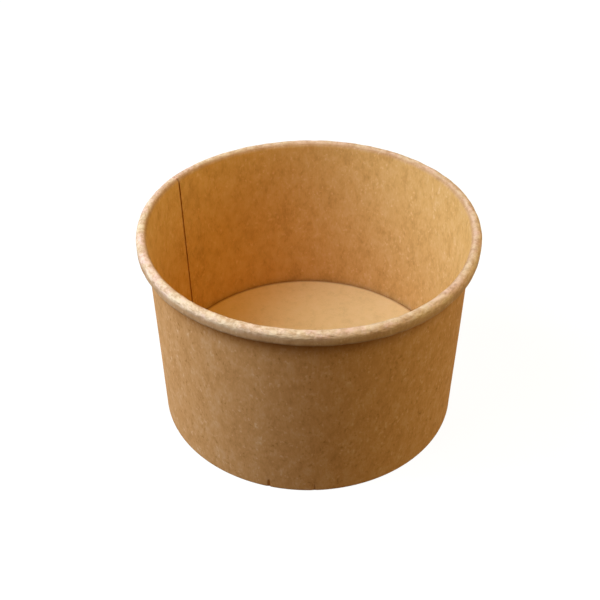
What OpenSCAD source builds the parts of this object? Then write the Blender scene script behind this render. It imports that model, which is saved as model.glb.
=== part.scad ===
// Round paper bowl: one lapped and rolled sheet for the wall, and a floor disc
// whose skirt is held in the hem that is folded up inside the foot.
// The origin is the centre of the foot, +Z runs up the bowl's axis.

/* [Bowl] */
// Outside diameter of the rolled rim
rim_d = 116; // [112:1:150]
// Height from the foot to the top of the rim
bowl_h = 73.6; // [40:0.1:140]
// Outside diameter of the wall just above the foot
foot_d = 105.6; // [90:0.1:108]

/* [Rolled rim] */
// Width of the roll, from the inside of the bowl outwards
roll_w = 3.6; // [2.8:0.1:5]
// Height of the roll
roll_h = 5.1; // [4:0.1:8]
// Height of the board's edge that turns up inside the roll
roll_tail_h = 1.2; // [0.4:0.1:2.5]
// Gap between the turned-in edge and the wall at the side seam
roll_gap = 0.05; // [0.03:0.01:0.4]

/* [Foot] */
// Height of the hem that is folded up inside the foot
hem_h = 8.6; // [4:0.1:9.4]
// Height of the folded edge, where wall and hem stand upright
fold_h = 1.2; // [1:0.1:2.5]
// Rounding of the folded edge that the bowl stands on
fold_r = 0.35; // [0.1:0.01:0.4]
// Pitch of the marks that a press wheel left around the inside of the hem
press_pitch = 2.8; // [2:0.1:8]
// Width of one mark
press_w = 1.3; // [0.5:0.1:1.6]
// Depth of the marks
press_depth = 0.12; // [0.05:0.01:0.2]
// Plain height left below and above the marks
press_margin = 1; // [0.5:0.1:3]

/* [Floor] */
// Height of the floor's upper face above the foot
floor_z = 10.6; // [9.8:0.1:20]
// Thickness of the floor board
floor_t = 0.4; // [0.25:0.01:0.7]
// Outer radius of the bend between floor and skirt
bend_r = 0.9; // [0.75:0.05:2]
// Clearance under the skirt's cut edge
skirt_clear = 0.3; // [0.1:0.05:1]

/* [Board and seam] */
// Thickness of the wall board
board_t = 0.42; // [0.25:0.01:0.5]
// Glue line between two layers of board
glue_t = 0.03; // [0.01:0.01:0.1]
// Width of the side seam's overlap
lap_w = 8; // [4:0.5:15]
// Direction of the seam's inner cut edge around the bowl, in degrees
seam_az = 148; // [0:1:359]
// Width over which the outer layer steps in beside the seam
jog_w = 1.2; // [0.6:0.1:3]
// Number of steps in that strip
jog_steps = 3; // [1:1:5]

/* [Hidden] */
$fn = 120;
kraft_wall = [0.72, 0.53, 0.33];
kraft_floor = [0.76, 0.57, 0.37];

rim_r = rim_d / 2;
// Inner face of the wall where the roll begins and where the fold ends
top_in_r = rim_r - roll_w;
foot_in_r = foot_d / 2 - board_t;
top_z = bowl_h - roll_w / 2;
wall_slope = (top_in_r - foot_in_r) / (top_z - fold_h);
// Lower turn of the roll, which clears the wall where its two ends lap
low_r = (roll_w - 2 * board_t - roll_gap) / 2;
low_z = bowl_h - roll_h + low_r;
// Distance from the wall's inner face to the hem, with the skirt between them
skirt_seat = floor_t + 2 * glue_t;
skirt_foot_z = fold_h + skirt_clear;

// Angles are whole tenths of a degree, so that neighbouring stretches of the
// sheet meet in exactly one plane
lap_angle = tenths(arc_angle(lap_w));
jog_step_angle = tenths(arc_angle(jog_w / jog_steps));
seam_end_az = seam_az + jog_steps * jog_step_angle;
lap_az = seam_az - lap_angle;

// Angle at the axis that an arc of this length spans at the foot
function arc_angle(length) = length / (foot_d / 2) * 180 / PI;

function tenths(x) = round(x * 10) / 10;

// Inner radius of the wall at height z
function wall_r(z) = foot_in_r + (z - fold_h) * wall_slope;

// How far the outer layer stands off the inner face at step k beside the seam
function jog_off(k) = board_t * (1 - k / (jog_steps + 1));

// Strip that follows the wall's lean, between two distances from its inner face
module leaning_strip(near, far, z0, z1) {
    polygon([
        [wall_r(z0) + near, z0],
        [wall_r(z0) + far, z0],
        [wall_r(z1) + far, z1],
        [wall_r(z1) + near, z1]
    ]);
}

// Half of a ring in section, above its centre (side = 1) or below it (side = -1)
module half_ring(r_out, r_in, side) {
    intersection() {
        difference() {
            circle(r_out);
            circle(r_in);
        }
        translate([-2 * r_out, side > 0 ? 0 : -2 * r_out])
            square([4 * r_out, 2 * r_out]);
    }
}

// Section of the roll: over the top, down the outside and in under itself.
// near and far are the layer's distances from the sheet's inner face, which is
// the face that shows on the outside of the roll.
module roll_section(near, far) {
    translate([rim_r - roll_w / 2, top_z])
        half_ring(roll_w / 2 - near, roll_w / 2 - far, 1);
    translate([rim_r - far, low_z])
        square([far - near, top_z - low_z]);
    translate([rim_r - low_r, low_z])
        half_ring(low_r - near, low_r - far, -1);
    translate([rim_r - 2 * low_r + near, low_z])
        square([far - near, roll_tail_h]);
}

// Section of the folded edge, open upwards, with its lower corners rounded
module fold_section(near, far) {
    in_x = foot_in_r - skirt_seat - far;
    out_x = foot_in_r + far;
    difference() {
        union() {
            translate([in_x + fold_r, 0])
                square([out_x - in_x - 2 * fold_r, fold_h]);
            translate([in_x, fold_r])
                square([out_x - in_x, fold_h - fold_r]);
            for (x = [in_x + fold_r, out_x - fold_r])
                translate([x, fold_r])
                    circle(fold_r);
        }
        translate([foot_in_r - skirt_seat - near, far - near])
            square([skirt_seat + 2 * near, fold_h]);
    }
}

// Whole section of the sheet: hem, fold, wall and roll
module sheet_section(near, far) {
    leaning_strip(-skirt_seat - far, -skirt_seat - near, fold_h, hem_h);
    fold_section(near, far);
    leaning_strip(near, far, fold_h, top_z);
    roll_section(near, far);
}

// Turns a section around the bowl's axis from one direction to another
module turned(from_az, to_az) {
    rotate_extrude(start = from_az, angle = to_az - from_az)
        children();
}

// Row of pressed marks in the hem's face between two directions, where the hem
// is this thick
module press_marks(from_az, to_az, thick) {
    pitch_angle = arc_angle(press_pitch);
    mark_angle = arc_angle(press_w);
    count = floor((to_az - from_az) / pitch_angle);
    face = -skirt_seat - thick;
    for (i = [0:1:count - 1])
        let (mid_az = from_az + (i + 0.5) * (to_az - from_az) / count)
            turned(mid_az - mark_angle / 2, mid_az + mark_angle / 2)
                leaning_strip(
                    face - press_depth,
                    face + press_depth,
                    fold_h + press_margin,
                    hem_h - press_margin
                );
}

// The wall: a single sheet whose ends lap at the side seam
module side_wall() {
    color(kraft_wall)
        difference() {
            union() {
                turned(seam_end_az, lap_az + 360)
                    sheet_section(0, board_t);
                turned(lap_az, seam_az)
                    sheet_section(0, 2 * board_t);
                for (k = [1:jog_steps])
                    turned(
                        seam_az + (k - 1) * jog_step_angle,
                        seam_az + k * jog_step_angle
                    )
                        sheet_section(jog_off(k), jog_off(k) + board_t);
            }
            press_marks(seam_end_az, lap_az + 360, board_t);
            press_marks(lap_az, seam_az, 2 * board_t);
        }
}

// The floor: a disc with its edge turned down into the hem
module base_disc() {
    bend_z = floor_z - bend_r;
    bend_x = wall_r(bend_z) - glue_t - bend_r;
    color(kraft_floor)
        rotate_extrude() {
            translate([0, floor_z - floor_t])
                square([bend_x, floor_t]);
            intersection() {
                translate([bend_x, bend_z])
                    half_ring(bend_r, bend_r - floor_t, 1);
                translate([bend_x, bend_z])
                    square(2 * bend_r);
            }
            leaning_strip(-glue_t - floor_t, -glue_t, skirt_foot_z, bend_z);
        }
}

side_wall();
base_disc();
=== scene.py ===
"""A paper bowl of brown kraft board: the lapped, folded and rolled wall, the floor, and a pale stage."""

import math

import bmesh
import bpy
from bpy.props import FloatProperty, FloatVectorProperty, IntProperty, PointerProperty
from mathutils import Matrix, Vector


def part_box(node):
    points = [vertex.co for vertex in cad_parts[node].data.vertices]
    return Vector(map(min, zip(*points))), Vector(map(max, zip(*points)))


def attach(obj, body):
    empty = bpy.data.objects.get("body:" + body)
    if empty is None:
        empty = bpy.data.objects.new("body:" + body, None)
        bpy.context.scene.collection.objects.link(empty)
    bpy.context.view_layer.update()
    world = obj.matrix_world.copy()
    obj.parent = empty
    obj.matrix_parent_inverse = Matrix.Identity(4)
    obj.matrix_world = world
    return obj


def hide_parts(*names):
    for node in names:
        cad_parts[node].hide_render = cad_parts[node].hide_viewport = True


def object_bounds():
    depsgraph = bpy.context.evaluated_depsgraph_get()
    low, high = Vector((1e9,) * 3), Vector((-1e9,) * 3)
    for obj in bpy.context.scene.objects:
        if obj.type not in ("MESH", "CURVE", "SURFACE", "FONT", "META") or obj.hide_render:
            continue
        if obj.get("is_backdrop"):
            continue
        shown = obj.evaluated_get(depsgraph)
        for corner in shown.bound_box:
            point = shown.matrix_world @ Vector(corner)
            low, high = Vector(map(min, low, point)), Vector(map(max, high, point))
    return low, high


bl_info = {
    "name": "Paper bowl",
    "version": (1, 0, 0),
    "blender": (4, 5, 0),
    "location": "3D View > Sidebar > Paper bowl",
    "description": "Builds a kraft paper bowl around its packed frame",
    "category": "Object",
}

MM = 0.001

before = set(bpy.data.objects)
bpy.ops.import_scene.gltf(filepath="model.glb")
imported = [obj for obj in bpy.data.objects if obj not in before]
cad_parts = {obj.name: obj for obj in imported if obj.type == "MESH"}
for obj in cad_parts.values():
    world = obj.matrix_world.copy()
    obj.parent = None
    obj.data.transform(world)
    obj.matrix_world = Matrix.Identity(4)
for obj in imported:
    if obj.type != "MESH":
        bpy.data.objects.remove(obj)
cad_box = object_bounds()
wall_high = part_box("side_wall")[1]
disc_low, disc_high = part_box("base_disc")

# How far the real rim is from a true circle: waves around the bowl, size in mm and direction of one crest
OUT_OF_ROUND = ((1, 0.12, -109), (2, 0.15, -23), (3, 0.23, 38), (4, 0.06, 41), (5, 0.16, -6))
OUT_OF_LEVEL = ((1, 0.42, 58), (2, 0.35, 25), (3, 0.23, 29), (4, 0.27, 6))
# Direction in degrees towards the key lamps in which the rim is painted palest, as a painted highlight
RIM_PAINTED_LIGHT_FROM = 215
# How much the rim's painted highlight varies: it is 1 in that direction, and less by twice this across from
# there
RIM_PAINTED_LIGHT_VARIES = 0.18
# Directions in degrees of the two small creases at the foot, and how deep each is beside the first
FOOT_CREASES = ((255.5, 1.0), (272.5, 0.5))
# Half the width of each crease in degrees
CREASE_HALF_WIDTH = 0.9
# Up to this share of their height the creases have their full depth
CREASE_FULL_SHARE = 0.6
# Edges of the boards that turn by more than this many degrees are shown sharp
SHARP_FROM = 50
# Noise in the boards' shapes: features to the metre around the bowl and up, and a start of its own
UNEVEN = {
    "lumps": (170, 60, 3.0),
    "sag": (230, 0, 17.0),
    "ripple": (60, 12, 31.0),
}
# Noise in the board's finish: features to the mm along x, y and z, levels of detail, and roughness
GRAINS = {
    "flecks": ((0.95, 0.95, 0.65), 1.0, 0.5),
    "patches": ((0.3, 0.3, 0.24), 2.0, 0.5),
    "mottle": ((0.26, 0.26, 0.16), 3.0, 0.7),
    "fibres": ((1.7, 1.7, 0.6), 1.0, 0.5),
    "blush": ((0.16, 0.16, 0.16), 2.0, 0.5),
    "worn": ((0.4, 0.4, 1.1), 3.0, 0.7),
    "dents": ((0.33, 0.33, 0.8), 2.0, 0.6),
}
# How strongly each noise counts in the board's tone, and how much darker the board is where its ends lap
FLECK_WEIGHT = 0.45
FIBRE_WEIGHT = 0.4
MOTTLE_WEIGHT = 1.1
LAP_DARKER = 0.1
# The soft lamps: azimuth and elevation in degrees, power in watts, and which of the stage's tints each has
LAMPS = {
    "key": (180, 50, 4.4, "cool"),
    "key_low": (180, 25, 4.3, "cool"),
    "key_near": (200, 35, 1.4, "cool"),
    "key_high": (208, 52, 3.5, "cool"),
    "side": (358, 8, 3.4, "plain"),
    "side_high": (0, 45, 0.5, "warm"),
    "front": (285, 40, 0.45, "warm"),
    "front_high": (334, 50, 1.1, "warm"),
    "back": (90, 40, 1.1, "plain"),
}


def length(name, description, default):
    """A size in metres that the panel shows with its unit."""
    return FloatProperty(name=name, description=description, default=default, unit="LENGTH", precision=5)


def angle(name, description, degrees):
    """An angle that the panel shows in degrees."""
    return FloatProperty(name=name, description=description, default=math.radians(degrees), subtype="ANGLE")


def number(name, description, default):
    """A number without a unit."""
    return FloatProperty(name=name, description=description, default=default, precision=5)


def tint(name, description, default):
    """A linear colour."""
    return FloatVectorProperty(name=name, description=description, default=default, size=3, subtype="COLOR")


class BowlSizes(bpy.types.PropertyGroup):
    """Sizes of the bowl's two boards."""

    rim_radius: length("Rim radius", "Outside radius of the rolled rim", wall_high.y)
    bowl_height: length("Height", "From the foot to the top of the rim", wall_high.z)
    foot_radius: length("Foot radius", "Outside radius of the wall just above the foot", 53.0 * MM)
    board: length("Wall board", "Thickness of the wall's board", 0.42 * MM)
    glue_line: length("Glue line", "Gap that stands for the glue between two boards", 0.03 * MM)
    roll_width: length("Roll width", "Width of the rolled rim", 3.6 * MM)
    roll_height: length("Roll height", "Height of the rolled rim", 5.1 * MM)
    roll_tail: length("Roll tail", "Height of the board's edge that turns up inside the roll", 1.2 * MM)
    hem_height: length("Hem height", "Height of the hem that is folded up inside the foot", 8.6 * MM)
    fold_height: length("Fold height", "Height of the upright part of the fold", 1.2 * MM)
    fold_bend: length("Fold bend", "Inside radius of the fold's two corners", 0.06 * MM)
    mark_count: IntProperty(name="Press marks", description="Marks around the inside of the hem", default=120)
    mark_depth: length("Mark depth", "Depth of the press marks", 0.12 * MM)
    mark_margin: length("Mark margin", "Plain height above and below the marks", 1.0 * MM)
    seam: angle("Seam", "Direction of the seam's inner cut edge", 148)
    lap: length("Lap", "Width of the side seam's overlap", 8.0 * MM)
    jog: length("Jog", "Width over which the outer layer steps in beside the seam", 1.2 * MM)
    crease_height: length("Crease height", "Height of the small creases at the foot", 4.4 * MM)
    crease_depth: length("Crease depth", "Depth of the small creases at the foot", 0.2 * MM)
    # Painted shade: the board outside is painted darker under the rolled rim, fading over this height
    shade_height: length("Shade height", "Height of the deeper brown under the rolled rim", 8.0 * MM)
    lump: length("Rim lumps", "How uneven the rolled rim is by hand", 0.2 * MM)
    ripple: length("Ripple", "How uneven the wall and the floor are", 0.16 * MM)
    floor_height: length("Floor height", "Height of the floor's upper face", disc_high.z)
    floor_board: length("Floor board", "Thickness of the floor's board", 0.4 * MM)
    floor_bend: length("Floor bend", "Outer radius of the bend at the floor's edge", 0.9 * MM)
    skirt_foot: length("Skirt foot", "Height of the skirt's cut edge above the ground", disc_low.z)


class BowlColours(bpy.types.PropertyGroup):
    """Colours of the board."""

    outside: tint("Outside", "Bare kraft board outside and under the foot", (0.59, 0.25, 0.08))
    inside: tint("Inside", "Kraft board inside, which a thin film deepens", (0.65, 0.334, 0.098))
    floor: tint("Floor", "Kraft board of the floor", (0.85, 0.525, 0.213))
    # Partly paler board, partly a painted highlight on the top of the roll
    rim: tint("Rim", "Paler board where it is stretched over the rim", (0.80, 0.515, 0.295))
    rim_blush: tint("Rim blush", "Pinkish patches on the rim", (0.80, 0.46, 0.31))
    # Painted shade: a darker, browner colour for the shaded lower half of the rim
    rim_painted_shade: tint("Rim side", "Browner board on the lower half of the rim", (0.50, 0.24, 0.10))
    pale: tint("Pale fibres", "What the paler fibres lean towards", (1.0, 0.66, 0.39))
    dark: tint("Dark fibres", "What the darker fibres lean towards", (0.25, 0.075, 0.005))
    cut: tint("Cut edge", "Raw fibre in the board's cut edges", (0.42, 0.20, 0.08))
    # Glue at the seam, and painted shade at the seam, under the rim, along the floor's edge and in the
    # creases
    groove: tint("Glue line", "Dark lines at the seam, the floor and the creases", (0.28, 0.07, 0.003))


class StageSettings(bpy.types.PropertyGroup):
    """Camera, lamps and ground."""

    elevation: angle("Elevation", "Camera's angle above the ground", 38.479)
    distance: length("Distance", "From the camera to the bowl's middle", 388.5 * MM)
    tilt: angle("Tilt", "Camera's roll", 0.269)
    lens: number("Lens", "Focal length in mm", 65.12)
    shift_across: number("Shift across", "Camera's shift to the side", -0.01428)
    shift_up: number("Shift up", "Camera's shift upwards", 0.01594)
    lamp_distance: length("Lamp distance", "From each lamp to the bowl's middle", 900 * MM)
    lamp_size: length("Lamp size", "Width of each soft lamp", 500 * MM)
    lamp_level: number("Lamp level", "Multiplies the power of all the lamps", 1.0)
    cool: tint("Cool", "Colour of the key lamps", (0.71, 0.99, 1.37))
    plain: tint("Plain", "Colour of the lamps at the side and the back", (0.82, 0.98, 0.84))
    warm: tint("Warm", "Colour of the other lamps and of the sky", (1.22, 0.94, 0.24))
    sky: number("Sky", "Strength of the light from all sides", 0.12)
    ground: tint("Ground", "What the ground gives back of the light on it", (0.11, 0.10, 0.08))
    ground_glow: number("Ground glow", "How bright the camera sees the ground", 0.95)


def found(sockets, key):
    """The socket with that place, or the first one in use with that name."""
    if isinstance(key, int):
        return sockets[key]
    return next(s for s in sockets if s.name == key and s.enabled)


class Wire:
    """One socket of a node tree. Python's operators on it add maths nodes to that tree."""

    def __init__(self, maker, socket):
        self.maker = maker
        self.socket = socket

    def out(self, key):
        """Another output of the same node."""
        return Wire(self.maker, found(self.socket.node.outputs, key))

    def math(self, operation, *values):
        """A Math node with these values, of which this socket is one."""
        return self.maker.node("ShaderNodeMath", {"operation": operation}, dict(enumerate(values)))

    def __add__(self, other):
        return self.math("ADD", self, other)

    def __sub__(self, other):
        return self.math("SUBTRACT", self, other)

    def __rsub__(self, other):
        return self.math("SUBTRACT", other, self)

    def __mul__(self, other):
        return self.math("MULTIPLY", self, other)

    def __truediv__(self, other):
        return self.math("DIVIDE", self, other)

    def __mod__(self, other):
        return self.math("MODULO", self, other)

    def __gt__(self, other):
        return self.math("GREATER_THAN", self, other)

    def __lt__(self, other):
        return self.math("LESS_THAN", self, other)

    def __abs__(self):
        return self.math("ABSOLUTE", self)

    def __round__(self):
        return self.math("ROUND", self)

    def least(self, other):
        return self.math("MINIMUM", self, other)

    def most(self, other):
        return self.math("MAXIMUM", self, other)

    def cosine(self):
        return self.math("COSINE", self)

    def sine(self):
        return self.math("SINE", self)

    def ramp(self, start, end, low=0.0, high=1.0, smooth=True):
        """Goes from low to high as this value goes from start to end, and stays there past them."""
        settings = {"interpolation_type": "SMOOTHSTEP" if smooth else "LINEAR"}
        values = {"Value": self, "From Min": start, "From Max": end, "To Min": low, "To Max": high}
        return self.maker.node("ShaderNodeMapRange", settings, values)


class Maker:
    """Adds nodes to one tree."""

    def __init__(self, tree):
        self.tree = tree

    def node(self, kind, settings=None, inputs=None):
        """Adds a node with its settings and its sockets' values or links. Gives its first output in use."""
        node = self.tree.nodes.new(kind)
        for name, value in (settings or {}).items():
            setattr(node, name, value)
        for key, value in (inputs or {}).items():
            socket = found(node.inputs, key)
            for part in value if isinstance(value, list) else [value]:
                if isinstance(part, Wire):
                    self.tree.links.new(part.socket, socket)
                else:
                    socket.default_value = part
        outputs = [s for s in node.outputs if s.enabled]
        return Wire(self, outputs[0]) if outputs else None

    def attribute(self, name, kind="FLOAT"):
        """A named attribute, in a geometry tree."""
        return self.node("GeometryNodeInputNamedAttribute", {"data_type": kind}, {"Name": name})

    def stored(self, geometry, name, value):
        """The geometry with a value kept on its points."""
        settings = {"data_type": "FLOAT", "domain": "POINT"}
        inputs = {0: geometry, "Name": name, "Value": value}
        return self.node("GeometryNodeStoreNamedAttribute", settings, inputs)

    def blend(self, factor, first, second):
        """A colour between two."""
        return self.node("ShaderNodeMix", {"data_type": "RGBA"}, {"Factor": factor, "A": first, "B": second})

    def seen(self):
        """1 where the camera looks straight, in a reflection or through something, and 0 for light."""
        path = self.node("ShaderNodeLightPath")
        return path.out("Is Camera Ray").most(path.out("Is Glossy Ray")).most(path.out("Is Transmission Ray"))


class SheetPath:
    """The inner face of a board in section: points, each with its radius, height, heading and run."""

    def __init__(self, radius, height, heading):
        self.points = []
        self.radius = radius
        self.height = height
        self.run = 0.0
        self.add(radius, height, heading)

    def add(self, radius, height, heading):
        """One more point. The board's outer face lies to the right of the heading."""
        self.run += math.hypot(radius - self.radius, height - self.height)
        self.radius = radius
        self.height = height
        self.points.append((radius, height, heading, self.run))

    def straight(self, radius, height, steps=1):
        """A straight stretch to a point."""
        start_radius = self.radius
        start_height = self.height
        heading = math.atan2(height - start_height, radius - start_radius)
        for k in range(1, steps + 1):
            share = k / steps
            self.add(
                start_radius + (radius - start_radius) * share,
                start_height + (height - start_height) * share,
                heading,
            )

    def bend(self, bend_radius, start, end, steps):
        """An arc from one heading to another. It turns left when the heading grows."""
        side = 1 if end > start else -1
        centre_radius = self.radius - side * bend_radius * math.sin(start)
        centre_height = self.height + side * bend_radius * math.cos(start)
        for k in range(1, steps + 1):
            heading = start + (end - start) * k / steps
            self.add(
                centre_radius + side * bend_radius * math.sin(heading),
                centre_height - side * bend_radius * math.cos(heading),
                heading,
            )


def along(value, start, span):
    """How far a value has come along a span: 0 before its start and 1 past its end."""
    return min(1.0, max(0.0, (value - start) / span))


def section_mesh(name, path, marks):
    """A chain of edges along a path. Each mark is a value for a point's place, kept on the mesh by name."""
    mesh = bpy.data.meshes.new(name)
    places = [(radius, 0.0, height) for radius, height, _, _ in path.points]
    mesh.from_pydata(places, [(k, k + 1) for k in range(len(places) - 1)], [])
    across = mesh.attributes.new("across", "FLOAT_VECTOR", "POINT")
    for k, (_, _, heading, _) in enumerate(path.points):
        across.data[k].vector = (math.sin(heading), 0.0, -math.cos(heading))
    for mark, value in marks.items():
        layer = mesh.attributes.new(mark, "FLOAT", "POINT")
        for k, (radius, height, heading, run) in enumerate(path.points):
            layer.data[k].value = value(radius, height, heading, run)
    return mesh


def waves(turn, table):
    """Sum of cosine waves around the bowl, in metres."""
    total = 0.0
    for count, size, crest in table:
        total = ((turn - math.radians(crest)) * count).cosine() * (size * MM) + total
    return total


def sheet_tree():
    """Wraps a board's section around the bowl's axis, laps its two ends and gives it its thickness."""
    tree = bpy.data.node_groups.new("wrapped_board", "GeometryNodeTree")
    tree.interface.new_socket("Geometry", in_out="OUTPUT", socket_type="NodeSocketGeometry")
    tree.interface.new_socket("Section", in_out="INPUT", socket_type="NodeSocketGeometry")
    kinds = {
        "Board": "Float",
        "Glue line": "Float",
        "Seam": "Float",
        "Lap": "Float",
        "Jog": "Float",
        "Round": "Bool",
        "Wide step": "Float",
        "Fine step": "Float",
        "Columns before the jog": "Int",
        "Columns at the jog": "Int",
        "Columns in the lap": "Int",
        "Press marks": "Int",
        "Mark depth": "Float",
        "Height": "Float",
        "Floor height": "Float",
        "Crease height": "Float",
        "Crease depth": "Float",
        "Lump": "Float",
        "Ripple": "Float",
        "Seed": "Float",
        "Material": "Material",
    }
    for name, kind in kinds.items():
        tree.interface.new_socket(name, in_out="INPUT", socket_type="NodeSocket" + kind)
    g = Maker(tree)
    given = g.node("NodeGroupInput")
    section = given.out("Section")
    sizes = {name: given.out(name) for name in kinds}

    rows = g.node("GeometryNodeAttributeDomainSize", {"component": "MESH"}, {"Geometry": section})
    before = sizes["Columns before the jog"]
    at_jog = sizes["Columns at the jog"]
    columns = before + at_jog + sizes["Columns in the lap"]

    def grid(across_count, along_count):
        """A grid of squares, with its column and row numbers."""
        counts = {
            "Size X": across_count,
            "Size Y": along_count,
            "Vertices X": across_count + 1,
            "Vertices Y": along_count + 1,
        }
        mesh = g.node("GeometryNodeMeshGrid", None, counts)
        place = g.node("ShaderNodeSeparateXYZ", None, {0: g.node("GeometryNodeInputPosition")})
        column = round(place.out("X") + across_count / 2)
        row = round(place.out("Y") + along_count / 2)
        return mesh, column, row

    def numbered(mesh, column, row, side):
        """The mesh with its column, row and side of the board kept on its points."""
        mesh = g.stored(mesh, "column", column)
        mesh = g.stored(mesh, "row", row)
        return g.stored(mesh, "side", side)

    # Both faces of the board in one grid, along the inner face and back along the outer one
    faces, column, place = grid(columns, rows * 2)
    place = place % (rows * 2)
    side = place > rows - 0.5
    faces = numbered(faces, column, place + side * (rows * 2 - 1 - place * 2), side)
    # The two cut ends of the board
    end, side, place = grid(1, rows - 1)
    ends = [numbered(end, at, place, side) for at in (0, columns)]
    lapped = g.node("GeometryNodeJoinGeometry", None, {"Geometry": [faces, *ends]})
    sheet = g.node("GeometryNodeSwitch", {"input_type": "GEOMETRY"}, {0: sizes["Round"], 1: lapped, 2: faces})

    column = g.attribute("column")
    side = g.attribute("side")
    turn = column.least(before) * sizes["Wide step"]
    turn = turn + (column - before).most(0).least(at_jog) * sizes["Fine step"]
    turn = turn + (column - before - at_jog).most(0) * sizes["Wide step"]
    azimuth = sizes["Seam"] - turn

    def sampled(value, kind="FLOAT"):
        """A value of the section at this point's row."""
        settings = {"data_type": kind, "domain": "POINT"}
        return g.node("GeometryNodeSampleIndex", settings, {0: section, 1: value, 2: g.attribute("row")})

    def parts(vector):
        """A vector of the section at this point's row, split into its parts."""
        return g.node("ShaderNodeSeparateXYZ", None, {0: sampled(vector, "FLOAT_VECTOR")})

    point = parts(g.node("GeometryNodeInputPosition"))
    across = parts(g.attribute("across", "FLOAT_VECTOR"))
    roll = sampled(g.attribute("roll"))
    fold = sampled(g.attribute("fold"))
    press = sampled(g.attribute("press"))
    on_wall = sampled(g.attribute("on_wall"))
    uneven = sampled(g.attribute("uneven"))

    # The last end stands off by one board over the first, and the fold rises by one board to make room
    full_turn = 2 * math.pi
    step_out = turn.ramp(full_turn - sizes["Jog"], full_turn) * (1 - sizes["Round"])
    under_lap = 1 - turn.ramp(sizes["Lap"], sizes["Lap"] + sizes["Jog"])
    layer = sizes["Board"] + sizes["Glue line"]
    stand_off = step_out * layer
    rise = (step_out + under_lap) * layer * fold
    # Press marks go into the hem's outer face, each in the middle of its pitch and half as wide
    phase = turn * sizes["Press marks"] / full_turn % 1.0
    mark = abs(phase - 0.5).ramp(0.2, 0.3, 1.0, 0.0) * press * side
    # Small creases at the foot go into the outer face. They lie in front, where the azimuth is below 0
    height = point.out("Z")
    crease = 0.0
    for direction, depth in FOOT_CREASES:
        gap = abs(azimuth - math.radians(direction - 360))
        crease = gap.ramp(0.0, math.radians(CREASE_HALF_WIDTH), depth, 0.0, smooth=False) + crease
    crease_top = sizes["Crease height"]
    crease = crease * height.ramp(crease_top * CREASE_FULL_SHARE, crease_top, 1.0, 0.0) * on_wall
    out = stand_off + side * (sizes["Board"] - mark * sizes["Mark depth"]) - crease * sizes["Crease depth"]

    def noise(kind):
        """Smooth noise from -1 to 1 over the board."""
        scale_around, scale_up, seed = UNEVEN[kind]
        spot = {
            0: azimuth.cosine() * point.out("X") * scale_around,
            1: azimuth.sine() * point.out("X") * scale_around,
            2: height * scale_up + sizes["Seed"] + seed,
        }
        inputs = {"Vector": g.node("ShaderNodeCombineXYZ", None, spot), "Scale": 1.0, "Detail": 1.0}
        return g.node("ShaderNodeTexNoise", {"noise_dimensions": "3D"}, inputs) * 2 - 1

    # Uneven handwork: lumps in the roll, and a gentle ripple across the boards
    above = height.ramp(sizes["Floor height"], sizes["Height"], smooth=False)
    lumps = noise("lumps") * sizes["Lump"] * roll
    sag = noise("sag") * sizes["Lump"] * roll
    out = out + noise("ripple") * sizes["Ripple"] * uneven
    radius = point.out("X") + across.out("X") * out + waves(azimuth, OUT_OF_ROUND) * above + lumps
    height = height + across.out("Z") * out + rise + waves(azimuth, OUT_OF_LEVEL) * above + sag
    spot = {0: radius * azimuth.cosine(), 1: radius * azimuth.sine(), 2: height}
    place = g.node("ShaderNodeCombineXYZ", None, spot)
    # What the finish needs of each point. The wall's edge gets painted shade outside, the floor's on its
    # upper face
    # Painted highlight: the rim is painted palest in one direction, towards the key lamps, and less around
    # the bowl
    stretch = (azimuth - math.radians(RIM_PAINTED_LIGHT_FROM)).cosine() * RIM_PAINTED_LIGHT_VARIES + (1 - RIM_PAINTED_LIGHT_VARIES)
    rounding = 0.001
    before_lap = turn < full_turn + rounding
    finish = {
        "rolled": roll,
        "crest": sampled(g.attribute("crest")) * stretch,
        "edge": sampled(g.attribute("edge")) * abs(side - sizes["Round"]),
        # The seam's groove, painted darker for its glue and as painted shade
        "groove": step_out * before_lap * (1 - side) * (1 - roll),
        "lapped": under_lap * (1 - side),
        "crease": crease * side,
    }
    for name, value in finish.items():
        sheet = g.stored(sheet, name, value)
    sheet = g.node("GeometryNodeSetPosition", None, {"Geometry": sheet, "Position": place})
    sheet = g.node("GeometryNodeMergeByDistance", None, {"Geometry": sheet, "Distance": 0.001 * MM})
    sheet = g.node("GeometryNodeRealizeInstances", None, {"Geometry": sheet})
    sheet = g.node("GeometryNodeSetMaterial", None, {"Geometry": sheet, "Material": sizes["Material"]})
    g.node("NodeGroupOutput", None, {"Geometry": sheet})
    return tree


def wrapped(name, section, values):
    """A board made from its section by the tree, as a plain closed mesh at the origin."""
    carrier = bpy.data.objects.new(name + "_section", section)
    bpy.context.scene.collection.objects.link(carrier)
    modifier = carrier.modifiers.new("wrap", "NODES")
    tree = bpy.data.node_groups.get("wrapped_board") or sheet_tree()
    modifier.node_group = tree
    for socket in tree.interface.items_tree:
        if socket.name in values:
            modifier[socket.identifier] = values[socket.name]
    depsgraph = bpy.context.evaluated_depsgraph_get()
    evaluated = carrier.evaluated_get(depsgraph)
    mesh = bpy.data.meshes.new_from_object(evaluated, preserve_all_data_layers=True, depsgraph=depsgraph)
    carrier.modifiers.remove(modifier)
    bpy.data.objects.remove(carrier)
    mesh.name = name
    shell = bmesh.new()
    shell.from_mesh(mesh)
    bmesh.ops.delete(shell, geom=[e for e in shell.edges if not e.link_faces], context="EDGES")
    bmesh.ops.recalc_face_normals(shell, faces=shell.faces)
    shell.to_mesh(mesh)
    shell.free()
    mesh.shade_smooth()
    mesh.set_sharp_from_angle(angle=math.radians(SHARP_FROM))
    board = bpy.data.objects.new(name, mesh)
    bpy.context.scene.collection.objects.link(board)
    return board


def wall_top(sizes):
    """Height at which the wall's inner face ends and its roll starts."""
    return sizes.bowl_height - sizes.roll_width / 2


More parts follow.
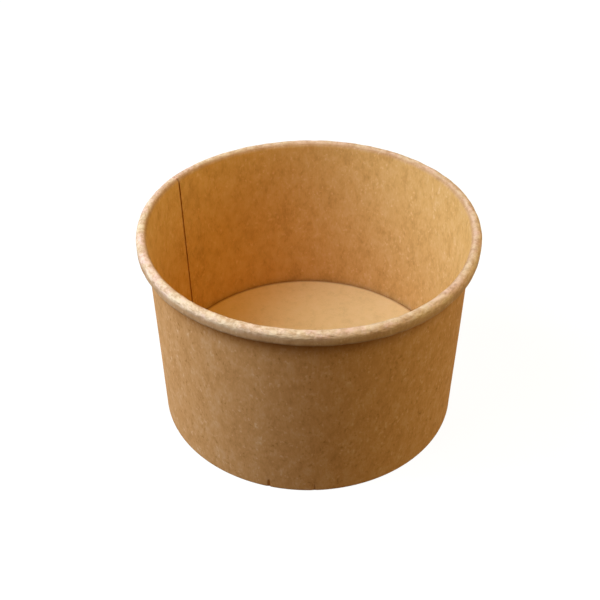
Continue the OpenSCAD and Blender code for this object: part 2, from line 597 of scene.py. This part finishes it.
def wall_radius(sizes, height):
    """Radius of the wall's inner face at a height."""
    inner_foot = sizes.foot_radius - sizes.board
    inner_top = sizes.rim_radius - sizes.roll_width
    lean = (inner_top - inner_foot) / (wall_top(sizes) - sizes.fold_height)
    return inner_foot + (height - sizes.fold_height) * lean


def wall_section(sizes):
    """The wall's section: hem, fold, wall and roll."""
    inner_foot = sizes.foot_radius - sizes.board
    inner_top = sizes.rim_radius - sizes.roll_width
    top = wall_top(sizes)
    seat = sizes.floor_board + 2 * sizes.glue_line
    roll_gap = 0.05 * MM
    low_radius = (sizes.roll_width - 2 * sizes.board - roll_gap) / 2
    low = sizes.bowl_height - sizes.roll_height + low_radius
    # Rows of points this far beside a sharp change keep it sharp
    edge = 0.15 * MM
    # Points nearer to the axis than this are on the hem
    hem_limit = inner_foot - 0.1 * MM

    def hem_to(height, steps=1):
        path.straight(wall_radius(sizes, height) - seat, height, steps)

    def wall_to(height, steps):
        path.straight(wall_radius(sizes, height), height, steps)

    upper_mark = sizes.hem_height - sizes.mark_margin
    lower_mark = sizes.fold_height + sizes.mark_margin
    path = SheetPath(wall_radius(sizes, sizes.hem_height) - seat, sizes.hem_height, -math.pi / 2)
    hem_to(upper_mark + edge)
    hem_to(upper_mark - edge)
    hem_to(lower_mark + edge, 2)
    hem_to(lower_mark - edge)
    hem_to(sizes.fold_height)
    path.straight(inner_foot - seat, sizes.board + sizes.fold_bend)
    path.bend(sizes.fold_bend, -math.pi / 2, 0.0, 4)
    path.straight(inner_foot - sizes.fold_bend, sizes.board)
    path.bend(sizes.fold_bend, 0.0, math.pi / 2, 4)
    path.straight(inner_foot, sizes.fold_height)
    wall_to(sizes.crease_height, 3)
    under_roll = sizes.bowl_height - sizes.roll_height
    wall_to(under_roll - sizes.shade_height, 8)
    wall_to(top - edge, 6)
    path.straight(inner_top, top)
    roll_start = path.run
    path.bend(sizes.roll_width / 2, math.pi / 2, -math.pi / 2, 14)
    path.straight(sizes.rim_radius, low, 3)
    path.bend(low_radius, -math.pi / 2, -3 * math.pi / 2, 9)
    path.straight(sizes.rim_radius - 2 * low_radius, low + sizes.roll_tail)

    # Where the section's marks start, along the board or up it, and over what lengths they change
    roll_blend = 1.2 * MM
    crest_start = 1.3 * MM
    crest_blend = 0.9 * MM
    crest_drop = 0.9 * MM
    crest_fade = 1.7 * MM
    fold_fade = 1.4 * MM
    # Above 1, the shade under the roll fades sooner than in a straight line
    shade_power = 1.5

    def on_roll(radius, height, heading, run):
        return along(run, roll_start, roll_blend)

    # The crest is the roll's top, painted paler as board that is paler there and as a painted highlight
    def on_crest(radius, height, heading, run):
        return along(run, roll_start + crest_start, crest_blend) * along(height, top - crest_drop, crest_fade)

    def on_fold(radius, height, heading, run):
        return 1 - along(height, sizes.fold_height, fold_fade)

    def on_marks(radius, height, heading, run):
        return float(radius < hem_limit and lower_mark < height < upper_mark)

    def on_wall(radius, height, heading, run):
        return float(radius > hem_limit)

    def on_free_wall(radius, height, heading, run):
        share = (height - sizes.floor_height) / (top - sizes.floor_height)
        return max(0.0, 4 * share * (1 - share)) if run <= roll_start else 0.0

    # Painted shade under the roll, darkest just below it
    def on_shade(radius, height, heading, run):
        share = along(height, under_roll - sizes.shade_height, sizes.shade_height)
        return share ** shade_power if radius > hem_limit and run < roll_start else 0.0

    marks = {
        "roll": on_roll,
        "crest": on_crest,
        "fold": on_fold,
        "press": on_marks,
        "on_wall": on_wall,
        "uneven": on_free_wall,
        "edge": on_shade,
    }
    return section_mesh("wall_section", path, marks)


def floor_section(sizes):
    """The floor's section: disc, bend and skirt."""

    def skirt_radius(height):
        return wall_radius(sizes, height) - sizes.glue_line

    bend_height = sizes.floor_height - sizes.floor_bend
    bend_start = skirt_radius(bend_height) - sizes.floor_bend
    # The painted shade at the floor's edge starts before the bend, and deepens over this length
    line_start = bend_start - 1.0 * MM
    line_blend = 1.2 * MM
    path = SheetPath(0.0, sizes.floor_height, 0.0)
    path.straight(line_start, sizes.floor_height, 20)
    path.straight(bend_start, sizes.floor_height)
    path.bend(sizes.floor_bend, 0.0, -math.pi / 2, 8)
    path.straight(skirt_radius(sizes.skirt_foot), sizes.skirt_foot, 2)

    def on_disc(radius, height, heading, run):
        return max(0.0, 1 - (run / bend_start) ** 2)

    def on_bend(radius, height, heading, run):
        return along(run, line_start, line_blend)

    marks = {mark: lambda *_: 0.0 for mark in ("roll", "crest", "fold", "press", "on_wall")}
    marks["uneven"] = on_disc
    marks["edge"] = on_bend
    return section_mesh("floor_section", path, marks)


def board_material(name, face, fleck_share, line_share, colours):
    """Brown kraft board.

    face is its inner side's colour, fleck_share how strong the flecks are there, and line_share how dark
    its edge is shaded.
    """
    material = bpy.data.materials.new(name)
    material.use_nodes = True
    tree = material.node_tree
    tree.nodes.clear()
    s = Maker(tree)

    def opaque(colour):
        return (*colour, 1.0)

    def kept(mark):
        return s.node("ShaderNodeAttribute", {"attribute_name": mark}).out("Fac")

    spot = s.node("ShaderNodeTexCoord").out("Object")

    def noise(kind):
        """Noise around 0 over the board."""
        scale, detail, rough = GRAINS[kind]
        stretch = s.node("ShaderNodeMapping", {"vector_type": "POINT"}, {"Vector": spot, "Scale": scale})
        values = {"Vector": stretch, "Scale": 1 / MM, "Detail": detail, "Roughness": rough}
        return s.node("ShaderNodeTexNoise", {"noise_dimensions": "3D"}, values) - 0.5

    side = kept("side")
    crest = kept("crest")
    # Sparse pale and dark flecks, more of them in some patches, over a mottle and fine fibres
    grain = noise("flecks")
    patches = noise("patches").ramp(-0.1, 0.1, 0.2, 1.0)
    dark_share = side * 0.5 + 0.4
    flecks = (grain.ramp(0.07, 0.26) - grain.ramp(-0.07, -0.27) * dark_share) * patches
    strength = side * (1 - fleck_share) + fleck_share
    tone = flecks * strength * FLECK_WEIGHT + noise("fibres") * FIBRE_WEIGHT + noise("mottle") * MOTTLE_WEIGHT
    tone = tone - kept("lapped") * LAP_DARKER
    colour = s.blend(side, opaque(face), opaque(colours.outside))
    # Painted shade: the whole roll is painted darker and browner, which its lower half keeps
    colour = s.blend(kept("rolled"), colour, opaque(colours.rim_painted_shade))
    # The roll's top is paler board with a painted highlight,
    # with pinkish patches and darker ones drawn out along it
    blush = noise("blush").ramp(-0.1, 0.15)
    stretched = s.blend(blush, opaque(colours.rim), opaque(colours.rim_blush))
    worn = noise("worn").ramp(-0.13, 0.08, 0.4, 1.0)
    colour = s.blend(crest * worn, colour, stretched)
    colour = s.blend(tone.ramp(0.0, 2.0, smooth=False), colour, opaque(colours.pale))
    colour = s.blend(tone.ramp(0.0, -1.0, 0.0, strength, smooth=False), colour, opaque(colours.dark))
    # The cut edges are halfway between the two sides. The seam's groove gets glue colour and painted shade
    cut = side * (1 - side) * 4 * (1 - crest)
    colour = s.blend(cut, colour, opaque(colours.cut))
    glue = kept("groove").ramp(0.6, 1.0, 0.0, 0.25)
    # The seam's glue with painted shade, and painted shade under the rim outside and along the floor's edge
    colour = s.blend(glue.most(kept("edge") * line_share), colour, opaque(colours.groove))
    # Painted shade in the small creases at the foot
    colour = s.blend(kept("crease").ramp(0.1, 0.6, 0.0, 0.85), colour, opaque(colours.groove))
    # Dents in the rim, and the tone as a fine relief
    dents = {"Strength": 1.0, "Distance": 0.7 * MM, "Height": noise("dents") * crest}
    dented = s.node("ShaderNodeBump", None, dents)
    relief = {"Strength": 0.3, "Distance": 0.06 * MM, "Height": tone, "Normal": dented}
    bump = s.node("ShaderNodeBump", None, relief)
    rough = side * 0.15 + 0.6
    values = {"Base Color": colour, "Roughness": rough, "Normal": bump, "Specular IOR Level": 0.03}
    board = s.node("ShaderNodeBsdfPrincipled", None, values)
    s.node("ShaderNodeOutputMaterial", None, {"Surface": board})
    return material


class BOWL_OT_wall(bpy.types.Operator):
    """Makes the bowl's wall, which is one sheet, and puts it in the place of the frame's wall."""

    bl_idname = "bowl.wall"
    bl_label = "Wall"

    def execute(self, context):
        sizes = context.scene.bowl_sizes
        colours = context.scene.bowl_colours
        wide = math.radians(0.5)
        fine = math.radians(0.1)
        jog = sizes.jog / sizes.foot_radius
        lap = sizes.lap / sizes.foot_radius
        at_jog = round((jog + wide) / fine)
        values = {
            "Board": sizes.board,
            "Glue line": sizes.glue_line,
            "Seam": sizes.seam,
            "Lap": lap,
            "Jog": jog,
            "Wide step": wide,
            "Fine step": fine,
            "Columns before the jog": round((2 * math.pi - at_jog * fine) / wide),
            "Columns at the jog": at_jog,
            "Columns in the lap": round(lap / wide),
            "Press marks": sizes.mark_count,
            "Mark depth": sizes.mark_depth,
            "Height": sizes.bowl_height,
            "Floor height": sizes.floor_height,
            "Crease height": sizes.crease_height,
            "Crease depth": sizes.crease_depth,
            "Lump": sizes.lump,
            "Ripple": sizes.ripple,
            "Seed": 4.0,
            "Material": board_material("wall_board", colours.inside, 1.0, 1.0, colours),
        }
        wall = wrapped("bowl_wall", wall_section(sizes), values)
        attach(wall, "root")
        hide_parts("side_wall")
        return {"FINISHED"}


class BOWL_OT_floor(bpy.types.Operator):
    """Makes the bowl's floor with its skirt, and puts it in the place of the frame's disc."""

    bl_idname = "bowl.floor"
    bl_label = "Floor"

    def execute(self, context):
        sizes = context.scene.bowl_sizes
        colours = context.scene.bowl_colours
        columns = 240
        # The floor has no seam, and a lap below 0 puts no part of it under a lap
        values = {
            "Board": sizes.floor_board,
            "Seam": sizes.seam,
            "Lap": -1.0,
            "Jog": 0.01,
            "Round": True,
            "Wide step": 2 * math.pi / columns,
            "Columns before the jog": columns,
            "Height": sizes.bowl_height,
            "Floor height": sizes.floor_height,
            "Crease height": sizes.crease_height,
            "Ripple": sizes.ripple,
            "Seed": 9.0,
            "Material": board_material("floor_board", colours.floor, 0.45, 0.8, colours),
        }
        disc = wrapped("bowl_floor", floor_section(sizes), values)
        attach(disc, "root")
        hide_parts("base_disc")
        return {"FINISHED"}


def soft_lamp(name, azimuth, elevation, distance, size, watts, colour, target):
    """A square soft lamp that looks at the target."""
    lamp = bpy.data.lights.new(name, "AREA")
    lamp.size = size
    lamp.energy = watts
    lamp.color = colour
    holder = bpy.data.objects.new(name, lamp)
    bpy.context.scene.collection.objects.link(holder)
    towards = Vector(
        (
            math.cos(elevation) * math.cos(azimuth),
            math.cos(elevation) * math.sin(azimuth),
            math.sin(elevation),
        )
    )
    holder.location = target + towards * distance
    holder.rotation_euler = towards.to_track_quat("Z", "Y").to_euler()


class BOWL_OT_stage(bpy.types.Operator):
    """Makes the pale ground, the soft lamps, the sky and the camera."""

    bl_idname = "bowl.stage"
    bl_label = "Stage"

    def execute(self, context):
        scene = context.scene
        stage = scene.bowl_stage
        middle = Vector((0.0, 0.0, scene.bowl_sizes.bowl_height / 2))
        self.make_camera(scene, stage, middle)
        self.make_ground(scene, stage)
        self.make_sky(scene, stage)
        for name, (azimuth, elevation, watts, colour) in LAMPS.items():
            turned = (math.radians(azimuth), math.radians(elevation))
            built = (stage.lamp_distance, stage.lamp_size, watts * stage.lamp_level, getattr(stage, colour))
            soft_lamp(name + "_lamp", *turned, *built, middle)
        scene.view_settings.view_transform = "Standard"
        return {"FINISHED"}

    def make_camera(self, scene, stage, middle):
        """A camera in front of the bowl, at the photograph's angle."""
        data = bpy.data.cameras.new("camera")
        data.lens = stage.lens
        data.shift_x = stage.shift_across
        data.shift_y = stage.shift_up
        data.clip_start = 10 * MM
        camera = bpy.data.objects.new("camera", data)
        scene.collection.objects.link(camera)
        elevation = stage.elevation
        back = Vector((0.0, -math.cos(elevation), math.sin(elevation)))
        upright = Vector((0.0, math.sin(elevation), math.cos(elevation)))
        level = Vector((1.0, 0.0, 0.0))
        right = level * math.cos(stage.tilt) + upright * math.sin(stage.tilt)
        up = upright * math.cos(stage.tilt) - level * math.sin(stage.tilt)
        turned = Matrix((right, up, back)).transposed().to_4x4()
        camera.matrix_world = Matrix.Translation(middle + back * stage.distance) @ turned
        scene.camera = camera

    def make_ground(self, scene, stage):
        """A wide pale ground that shows white to the camera and keeps the bowl's shadow."""
        half = 3.0
        low = -0.02 * MM
        corners = [(-half, -half, low), (half, -half, low), (half, half, low), (-half, half, low)]
        mesh = bpy.data.meshes.new("ground")
        mesh.from_pydata(corners, [], [(0, 1, 2, 3)])
        ground = bpy.data.objects.new("ground", mesh)
        scene.collection.objects.link(ground)
        material = bpy.data.materials.new("ground")
        material.use_nodes = True
        material.node_tree.nodes.clear()
        s = Maker(material.node_tree)
        matt = s.node("ShaderNodeBsdfDiffuse", None, {"Color": (*stage.ground, 1.0)})
        glow = s.node("ShaderNodeEmission", None, {"Strength": s.seen() * stage.ground_glow})
        shown = s.node("ShaderNodeAddShader", None, {0: matt, 1: glow})
        s.node("ShaderNodeOutputMaterial", None, {"Surface": shown})
        mesh.materials.append(material)
        ground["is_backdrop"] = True

    def make_sky(self, scene, stage):
        """Even light from all sides, and white where the camera or a reflection sees it."""
        world = bpy.data.worlds.new("sky")
        world.use_nodes = True
        world.node_tree.nodes.clear()
        s = Maker(world.node_tree)
        light = s.node("ShaderNodeBackground", None, {"Color": (*stage.warm, 1.0), "Strength": stage.sky})
        white = s.node("ShaderNodeBackground", None, {"Color": (1.0, 1.0, 1.0, 1.0), "Strength": 1.0})
        shown = s.node("ShaderNodeMixShader", None, {0: s.seen(), 1: light, 2: white})
        s.node("ShaderNodeOutputWorld", None, {"Surface": shown})
        scene.world = world


class BOWL_PT_panel(bpy.types.Panel):
    """Lists the steps that build the bowl, with its sizes and colours."""

    bl_idname = "BOWL_PT_panel"
    bl_label = "Paper bowl"
    bl_space_type = "VIEW_3D"
    bl_region_type = "UI"
    bl_category = "Paper bowl"

    def draw(self, context):
        for operator in OPERATORS:
            self.layout.operator(operator.bl_idname)
        for group in (context.scene.bowl_sizes, context.scene.bowl_colours, context.scene.bowl_stage):
            box = self.layout.box()
            for name in group.__annotations__:
                box.prop(group, name)


OPERATORS = (BOWL_OT_wall, BOWL_OT_floor, BOWL_OT_stage)
GROUPS = {"bowl_sizes": BowlSizes, "bowl_colours": BowlColours, "bowl_stage": StageSettings}


def register():
    """Registers the classes and hangs the settings on the scene."""
    for kind in (*GROUPS.values(), *OPERATORS, BOWL_PT_panel):
        bpy.utils.register_class(kind)
    for name, kind in GROUPS.items():
        setattr(bpy.types.Scene, name, PointerProperty(type=kind))


def unregister():
    """Takes everything away again."""
    for name in GROUPS:
        delattr(bpy.types.Scene, name)
    for kind in (BOWL_PT_panel, *reversed(OPERATORS), *reversed(GROUPS.values())):
        bpy.utils.unregister_class(kind)


def plain(box):
    """A box as lists of numbers."""
    return [list(corner) for corner in box]


def main():
    """Builds the bowl and its stage."""
    register()
    bpy.ops.bowl.wall()
    bpy.ops.bowl.floor()
    bpy.ops.bowl.stage()
    {"cad": plain(cad_box), "visual": plain(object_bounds())}


if __name__ == "__main__":
    main()
